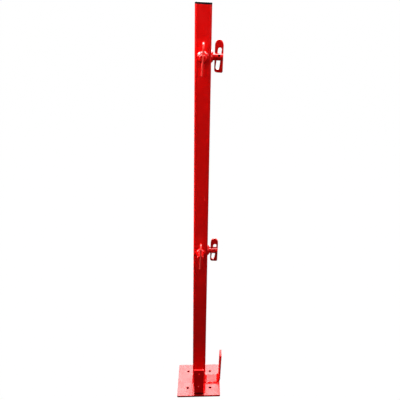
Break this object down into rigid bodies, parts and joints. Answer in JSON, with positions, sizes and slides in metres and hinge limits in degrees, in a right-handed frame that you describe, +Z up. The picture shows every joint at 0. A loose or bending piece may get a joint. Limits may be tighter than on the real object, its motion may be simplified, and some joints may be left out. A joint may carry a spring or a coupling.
{
  "type": "guard rail corner post",
  "caption": "Square steel corner post for a temporary guard rail: bolt-down base plate, rail studs with slotted gravity toggles on two faces, and toe-board brackets.",
  "frame": {"origin": "centre of the base plate's underside, on the axis of the square tube", "axes": "+Z up along the tube, +X out of the right-hand rail face, -Y out of the front rail face"},
  "size_m": [0.1385, 0.1385, 1.155],
  "materials": {
    "red_paint": "gloss red paint over welded steel",
    "cap_plastic": "moulded black polyethylene",
    "plated_steel": "dark steel, partly painted over"
  },
  "bodies": {
    "post": {"post_tube": "red_paint", "end_cap": "cap_plastic", "base_plate": "red_paint", "post_weld": "red_paint", "rail_stud_right_upper": "red_paint", "stud_weld_right_upper": "red_paint", "rail_stud_right_lower": "red_paint", "stud_weld_right_lower": "red_paint", "rail_stud_front_upper": "red_paint", "stud_weld_front_upper": "red_paint", "rail_stud_front_lower": "red_paint", "stud_weld_front_lower": "red_paint", "toe_board_bracket_right": "red_paint", "bracket_weld_right": "red_paint", "toe_board_bracket_front": "red_paint", "bracket_weld_front": "red_paint"},
    "pin_right_upper": {"toggle_pin_right_upper": "plated_steel"},
    "toggle_right_upper": {"toggle_right_upper": "red_paint"},
    "pin_right_lower": {"toggle_pin_right_lower": "plated_steel"},
    "toggle_right_lower": {"toggle_right_lower": "red_paint"},
    "pin_front_upper": {"toggle_pin_front_upper": "plated_steel"},
    "toggle_front_upper": {"toggle_front_upper": "red_paint"},
    "pin_front_lower": {"toggle_pin_front_lower": "plated_steel"},
    "toggle_front_lower": {"toggle_front_lower": "red_paint"}
  },
  "joints": [
    {"name": "toggle_swing_right_upper", "type": "hinge", "parent": "post", "child": "pin_right_upper", "pos_m": [0.039, 0, 1.037], "axis": [0, 1, 0], "range_deg": [-8, 4.5]},
    {"name": "toggle_lift_right_upper", "type": "slide", "parent": "pin_right_upper", "child": "toggle_right_upper", "axis": [0.1219, 0, 0.9925], "range_m": [-0.015, 0.03]},
    {"name": "toggle_swing_right_lower", "type": "hinge", "parent": "post", "child": "pin_right_lower", "pos_m": [0.039, -0.0003, 0.49949], "axis": [0, 0.9962, 0.0872], "range_deg": [-8, 4.5]},
    {"name": "toggle_lift_right_lower", "type": "slide", "parent": "pin_right_lower", "child": "toggle_right_lower", "axis": [0.1219, -0.0865, 0.9888], "range_m": [-0.015, 0.03]},
    {"name": "toggle_swing_front_upper", "type": "hinge", "parent": "post", "child": "pin_front_upper", "pos_m": [0.00018, -0.039, 1.03699], "axis": [0.9986, 0, -0.0523], "range_deg": [-8, 4.5]},
    {"name": "toggle_lift_front_upper", "type": "slide", "parent": "pin_front_upper", "child": "toggle_front_upper", "axis": [0.0519, -0.1219, 0.9912], "range_m": [-0.0105, 0.0345]},
    {"name": "toggle_swing_front_lower", "type": "hinge", "parent": "post", "child": "pin_front_lower", "pos_m": [0.00009, -0.039, 0.4995], "axis": [0.9997, 0, -0.0262], "range_deg": [-8, 4.5]},
    {"name": "toggle_lift_front_lower", "type": "slide", "parent": "pin_front_lower", "child": "toggle_front_lower", "axis": [0.026, -0.1219, 0.9922], "range_m": [-0.015, 0.03]}
  ]
}
